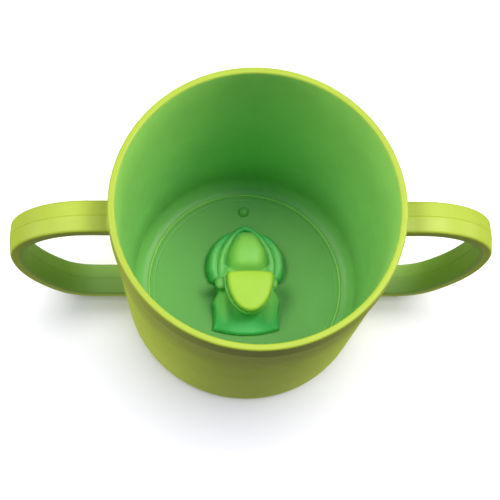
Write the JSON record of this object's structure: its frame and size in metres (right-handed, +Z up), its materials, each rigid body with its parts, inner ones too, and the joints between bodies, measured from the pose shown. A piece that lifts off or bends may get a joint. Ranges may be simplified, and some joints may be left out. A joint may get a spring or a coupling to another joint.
{
  "type": "training cup",
  "caption": "Open tapered toddler cup with a strap handle on each side and a raised frog on its floor.",
  "frame": {"origin": "centre of the standing ring's underside, on the cup's axis", "axes": "+Z up along the cup's axis, +X through the right handle, the frog faces -Y"},
  "size_m": [0.1356, 0.08, 0.0741],
  "materials": {
    "lime_plastic": "satin",
    "inner_plastic": "satin"
  },
  "bodies": {
    "root": {"cup_body": "lime_plastic", "handle_left": "lime_plastic", "handle_right": "lime_plastic", "floor_disc": "inner_plastic", "floor_pip": "inner_plastic", "frog_back": "inner_plastic", "frog_thigh_left": "inner_plastic", "frog_thigh_right": "inner_plastic", "frog_chest": "inner_plastic", "frog_jaw": "inner_plastic", "frog_head": "inner_plastic", "frog_eye_left": "inner_plastic", "frog_eye_right": "inner_plastic"}
  },
  "joints": []
}
